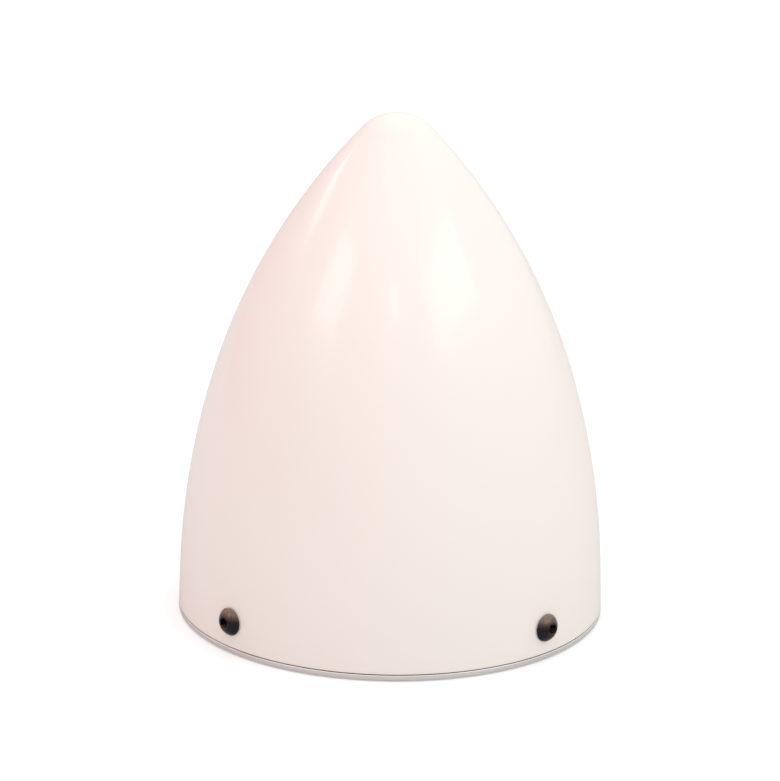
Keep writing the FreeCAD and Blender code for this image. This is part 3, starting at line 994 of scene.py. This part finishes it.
@dataclass(frozen=True)
class Room:
    """Even light from all round: rosy from low on the left and white elsewhere, brightest overhead.

    Its wall is plain white to the camera.
    """

    white: Colour = (0.98, 0.957, 0.942)
    rosy: Colour = (0.81, 0.475, 0.485)
    rise: float = 0.75
    span: Pair = (-0.9, 0.4)
    horizon: float = 0.91
    overhead: float = 1.28
    wall: Colour = (1.0, 1.0, 1.0)

    def build(self) -> None:
        """Make it the scene's world.

        Formula: the colour runs from rosy to white over the span of a sum: how far a direction points to
        the right, plus a share of how far it points up. The strength runs from the horizon's to the
        overhead light's with how far it points up. Below the horizon, how far it points up counts as 0.
        """
        world = bpy.data.worlds.new("room")
        world.use_nodes = True
        wiring = Wiring(world.node_tree)
        towards = wiring.add("TexCoord").outputs["Generated"]
        split = wiring.add("SeparateXYZ", {0: towards}).outputs
        above = wiring.math("MAXIMUM", split["Z"], 0.0)
        lean = wiring.math("ADD", split["X"], wiring.math("MULTIPLY", above, self.rise))
        start, end = self.span
        side = wiring.add("MapRange", {"Value": lean, "From Min": start, "From Max": end}).outputs[0]
        colour = wiring.blend(side, self.rosy, self.white)
        height = wiring.add(
            "MapRange",
            {"Value": split["Z"], "From Min": 0.0, "To Min": self.horizon, "To Max": self.overhead},
        ).outputs[0]
        light = wiring.add("Background", {"Color": colour, "Strength": height}).outputs[0]
        wall = wiring.add("Background", {"Color": (*self.wall, 1)}).outputs[0]
        seen = wiring.add("LightPath").outputs["Is Camera Ray"]
        view = wiring.add("MixShader", {0: seen, 1: light, 2: wall}).outputs[0]
        wiring.add("OutputWorld", {"Surface": view})
        bpy.context.scene.world = world


@dataclass(frozen=True)
class Studio:
    """A pale floor in an even room, with soft lights."""

    floor_size: float = 60.0
    floor_height: float = -0.0003
    floor_colour: Colour = (0.655, 0.66, 0.665)
    floor_glow: float = 0.39
    glow_colour: Colour = (1.0, 1.0, 1.0)
    floor_roughness: float = 0.9
    floor_specular: float = 0.1
    room: Room = Room()
    lights: tuple[Softbox, ...] = (
        Softbox("key", 56.0, 40.0, 1.2, 0.80, 0.36, 1.6, (1.0, 0.99, 0.98)),
        Softbox("left", -58.0, 38.0, 1.2, 0.42, 0.36, 1.9, (1.0, 0.98, 0.95)),
        Softbox("window", 0.0, 42.0, 1.2, 0.12, 0.14, 2.4, (1.0, 0.98, 0.95)),
        Softbox("behind", -119.0, 31.0, 1.2, 0.42, 0.12, 2.2, (1.0, 0.96, 0.92)),
    )

    def build(self) -> None:
        """Lay the floor and hang the lights. The floor's glow is seen, but lights nothing."""
        half, level = self.floor_size / 2, self.floor_height
        corners = [(-half, -half, level), (half, -half, level), (half, half, level), (-half, half, level)]
        mesh = bpy.data.meshes.new("floor")
        mesh.from_pydata(corners, [], [(0, 1, 2, 3)])
        floor = bpy.data.objects.new("floor", mesh)
        bpy.context.scene.collection.objects.link(floor)
        material, wiring, shader = new_finish("floor_paper")
        shader.inputs["Base Color"].default_value = (*self.floor_colour, 1)
        shader.inputs["Emission Color"].default_value = (*self.glow_colour, 1)
        seen = wiring.add("LightPath").outputs["Is Camera Ray"]
        join(shader, Emission_Strength=wiring.math("MULTIPLY", seen, self.floor_glow))
        set_inputs(shader, Roughness=self.floor_roughness, Specular_IOR_Level=self.floor_specular)
        mesh.materials.append(material)
        self.room.build()
        for light in self.lights:
            light.place()


@dataclass(frozen=True)
class Viewpoint:
    """The camera: its place and lens in millimetres, its turns in radians, and its clip in metres."""

    place: Place = (4.0, -475.9, 178.5)
    heading: float = -0.0098
    pitch: float = 0.2705
    roll: float = 0.0156
    lens: float = 108.9
    clip: Pair = (0.01, 50.0)

    def set_up(self) -> None:
        """Make the scene's camera.

        Formula: it looks along heading and pitch, its level right and up vectors follow from that, and roll
        turns both about the line of sight.
        """
        heading, pitch = self.heading, self.pitch
        ahead = Vector(
            (math.sin(heading) * math.cos(pitch), math.cos(heading) * math.cos(pitch), -math.sin(pitch))
        )
        right = Vector((math.cos(heading), -math.sin(heading), 0.0))
        above = right.cross(ahead)
        cosine, sine = math.cos(self.roll), math.sin(self.roll)
        turned_right = right * cosine + above * sine
        turned_above = above * cosine - right * sine
        camera = bpy.data.objects.new("camera", bpy.data.cameras.new("camera"))
        camera.data.lens = self.lens
        camera.data.clip_start, camera.data.clip_end = self.clip
        turning = Matrix((turned_right, turned_above, -ahead)).transposed()
        camera.matrix_world = Matrix.Translation(Vector(self.place) * MM) @ turning.to_4x4()
        bpy.context.scene.collection.objects.link(camera)
        bpy.context.scene.camera = camera


def main() -> None:
    """Build and dress the spinner, then the stage and the camera."""
    logging.basicConfig(level=logging.INFO, format="%(name)s: %(message)s")
    effects = Effects()
    gelcoat, laminate = Gelcoat().material(effects), Laminate().material(effects)
    aluminium, black_oxide = TurnedAluminium().material(effects), BlackOxide().material(effects)

    screws = tuple(sorted(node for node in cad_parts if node.startswith("cone_screw_")))
    pieces = [Backplate().dress(aluminium), Cone(screws=screws).build(gelcoat, laminate)]
    for index, node in enumerate(screws):
        clocking = FIRST_CLOCKING + CLOCKING_STEP * index
        pieces.append(ButtonScrew(node, clocking).build(black_oxide))
    for piece in pieces:
        log.info("%s: %d faces", piece.name, len(piece.data.polygons))

    Studio().build()
    Viewpoint().set_up()
    bpy.context.scene.view_settings.view_transform = "Standard"


if __name__ == "__main__":
    main()
